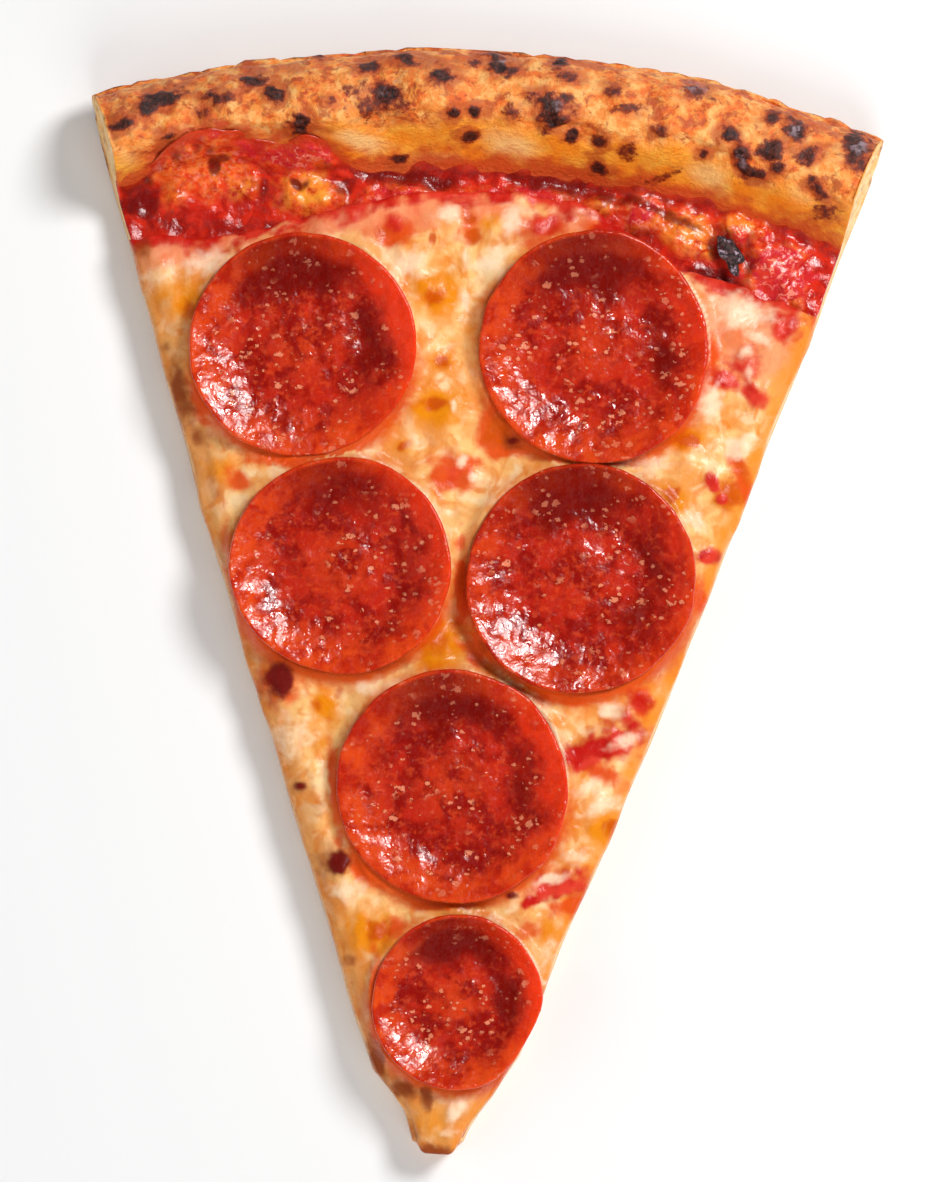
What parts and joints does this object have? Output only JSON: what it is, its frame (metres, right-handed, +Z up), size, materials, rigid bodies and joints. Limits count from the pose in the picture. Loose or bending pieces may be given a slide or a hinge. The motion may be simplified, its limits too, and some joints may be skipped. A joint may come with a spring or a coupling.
{
  "type": "pepperoni pizza slice",
  "caption": "Cut wedge of baked pizza with a puffed rim, a blunt tip, sauce, melted cheese and cupped round slices of pepperoni.",
  "frame": {"origin": "on the underside, under the middle of the slice's footprint", "axes": "+Z up, +Y from the tip towards the rim along the slice's middle line, +X to the right seen from above with the rim away"},
  "size_m": [0.1307, 0.1818, 0.0181],
  "materials": {
    "crust": "dry baked dough, golden with charred blisters",
    "sauce": "wet tomato sauce",
    "cheese": "melted cheese with browned blisters and orange oil",
    "pepperoni": "oily cured sausage with flecks of fat"
  },
  "bodies": {
    "root": {"crust": "crust", "sauce": "sauce", "cheese": "cheese", "pepperoni_rim_left": "pepperoni", "pepperoni_rim_right": "pepperoni", "pepperoni_middle_left": "pepperoni", "pepperoni_middle_right": "pepperoni", "pepperoni_lower": "pepperoni", "pepperoni_tip": "pepperoni"}
  },
  "joints": []
}
